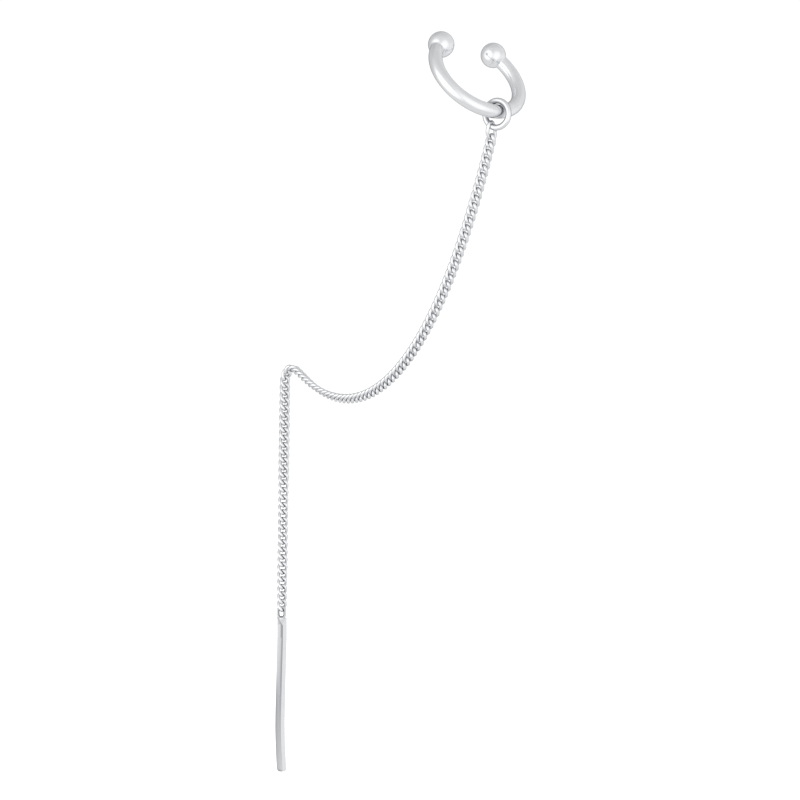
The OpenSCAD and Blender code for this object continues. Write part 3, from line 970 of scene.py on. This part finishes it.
# studio: pale floor far below, white all round, soft panels of light
# each panel: bearing round the camera's line (0 right, 90 up), angle away from the camera's side,
# soft edge from inner to outer angle, brightness
studio = {"floorZ": -130.0, "floorSide": 6.0, "room": 0.84, "backdrop": 1.05, "panels": {
    "keyRight": (350, 33, 8, 48, 0.36),
    "keyLeft": (182, 50, 13, 50, 0.68),
    "lowFront": (295, 30, 5, 36, 0.12),
    "farRight": (340, 105, 10, 45, 0.14),
    "behindLeft": (140, 135, 10, 60, -0.18),
    "above": (88, 100, 10, 50, -0.12),
    "behind": (0, 180, 12, 46, -0.32),
}}


def buildFloor():
    half = studio["floorSide"] / 2
    mesh = bpy.data.meshes.new("paleFloor")
    z = studio["floorZ"] * mm
    corners = [(-half, -half, z), (half, -half, z), (half, half, z), (-half, half, z)]
    mesh.from_pydata(corners, [], [(0, 1, 2, 3)])
    floor = linkObject("paleFloor", mesh)
    paint = bpy.data.materials.new("paleFloorPaint")
    paint.use_nodes = True
    shader = paint.node_tree.nodes["Principled BSDF"]
    shader.inputs["Base Color"].default_value = (0.9, 0.9, 0.9, 1)
    shader.inputs["Roughness"].default_value = 0.9
    shader.inputs["Specular IOR Level"].default_value = 0.0
    shader.inputs["Emission Color"].default_value = (1, 1, 1, 1)
    shader.inputs["Emission Strength"].default_value = 0.8
    mesh.materials.append(paint)
    floor.visible_glossy = False
    return floor


def buildRoomLight():
    world = bpy.data.worlds.new("whiteStudio")
    bpy.context.scene.world = world
    world.use_nodes = True
    nodes, links = world.node_tree.nodes, world.node_tree.links
    nodes.clear()
    out = nodes.new("ShaderNodeOutputWorld")
    seen, lit = nodes.new("ShaderNodeBackground"), nodes.new("ShaderNodeBackground")
    mix = nodes.new("ShaderNodeMixShader")
    seen.inputs["Color"].default_value = (1, 1, 1, 1)
    seen.inputs["Strength"].default_value = studio["backdrop"]
    place = nodes.new("ShaderNodeTexCoord")
    total = studio["room"]
    for bearing, away, inner, outer, brightness in studio["panels"].values():
        turn, tilt = math.radians(bearing), math.radians(away)
        facing = nodes.new("ShaderNodeVectorMath")
        facing.operation = "DOT_PRODUCT"
        way = (math.sin(tilt) * math.cos(turn), -math.cos(tilt), math.sin(tilt) * math.sin(turn))
        facing.inputs[1].default_value = way
        links.new(place.outputs["Generated"], facing.inputs[0])
        panel = nodes.new("ShaderNodeMapRange")
        panel.interpolation_type = "SMOOTHSTEP"
        panel.inputs["From Min"].default_value = math.cos(math.radians(outer))
        panel.inputs["From Max"].default_value = math.cos(math.radians(inner))
        panel.inputs["To Min"].default_value = 0.0
        panel.inputs["To Max"].default_value = brightness
        links.new(facing.outputs["Value"], panel.inputs["Value"])
        total = calcNode(world.node_tree, "ADD", panel.outputs["Result"], total)
    links.new(total, lit.inputs["Strength"])
    lit.inputs["Color"].default_value = (1, 1, 1, 1)
    path = nodes.new("ShaderNodeLightPath")
    links.new(path.outputs["Is Camera Ray"], mix.inputs["Fac"])
    links.new(lit.outputs[0], mix.inputs[1])
    links.new(seen.outputs[0], mix.inputs[2])
    links.new(mix.outputs[0], out.inputs["Surface"])


buildFloor()
buildRoomLight()
bpy.context.scene.view_settings.view_transform = "Standard"
bpy.context.scene.view_settings.look = "None"
print("studio built")
